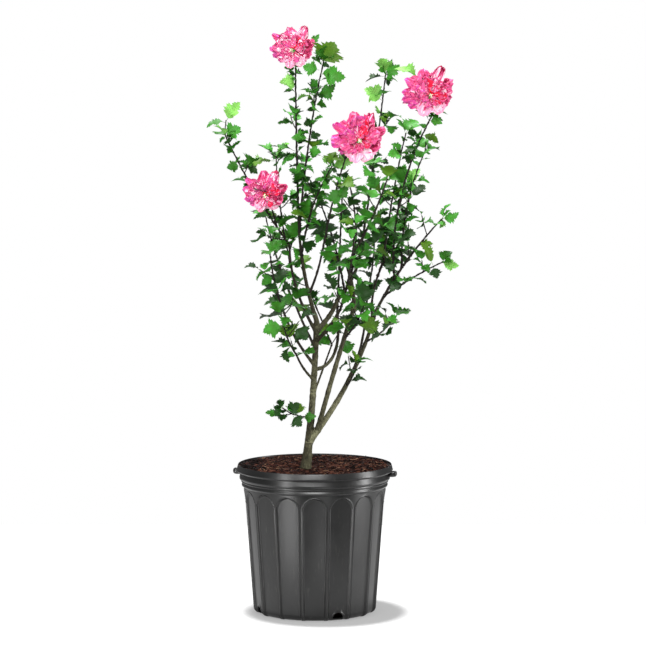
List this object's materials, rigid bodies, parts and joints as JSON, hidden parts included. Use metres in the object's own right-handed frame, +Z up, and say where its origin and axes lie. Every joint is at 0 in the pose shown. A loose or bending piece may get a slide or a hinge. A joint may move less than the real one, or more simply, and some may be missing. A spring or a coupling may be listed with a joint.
{
  "type": "potted rose of sharon",
  "caption": "Young upright rose of sharon shrub with ruffled double pink blooms, growing in a ribbed black nursery pot filled with bark mix",
  "frame": {"origin": "middle of the pot's flat underside, on the surface that the pot stands on", "axes": "+Z up along the pot's axis, -Y towards the front, where the blooms face, +X to the right as seen from the front"},
  "size_m": [0.4273, 0.3617, 1.0434],
  "materials": {
    "pot": "satin black moulded plastic",
    "mix": "loose shredded bark and peat, dark red-brown",
    "bark": "smooth olive-grey young bark with paler flecks",
    "foliage": "fresh green toothed leaves on thin twigs",
    "bloom": "ruffled pink petals streaked paler and crimson"
  },
  "bodies": {
    "root": {"pot": "pot", "potting_mix": "mix", "trunk": "bark", "right_bough": "bark", "right_high_bough": "bark", "far_bough": "bark", "back_right_bough": "bark", "mid_bough": "bark", "mid_high_bough": "bark", "fork_bough": "bark", "fork_high_bough": "bark", "front_bough": "bark", "back_bough": "bark", "thin_back_bough": "bark", "left_low_bough": "bark", "left_bough": "bark", "left_back_bough": "bark", "crown_bough": "bark", "left_high_bough": "bark", "centre_bough": "bark", "top_shoot": "foliage", "second_top_shoot": "foliage", "inner_shoot": "foliage", "centre_shoot": "foliage", "bent_shoot": "foliage", "mid_shoot": "foliage", "tall_back_shoot": "foliage", "fork_side_shoot": "foliage", "front_shoot": "foliage", "back_shoot": "foliage", "low_back_shoot": "foliage", "left_low_shoot": "foliage", "left_shoot": "foliage", "left_back_shoot": "foliage", "left_tall_shoot": "foliage", "left_inner_shoot": "foliage", "right_shoot": "foliage", "right_thin_shoot": "foliage", "right_low_shoot": "foliage", "right_front_shoot": "foliage", "right_inner_shoot": "foliage", "far_shoot": "foliage", "back_right_shoot": "foliage", "right_low_spur": "foliage", "right_high_spur": "foliage", "mid_spur": "foliage", "low_sprig": "foliage", "top_bloom": "bloom", "centre_bloom": "bloom", "right_bloom": "bloom", "left_bloom": "bloom"}
  },
  "joints": []
}
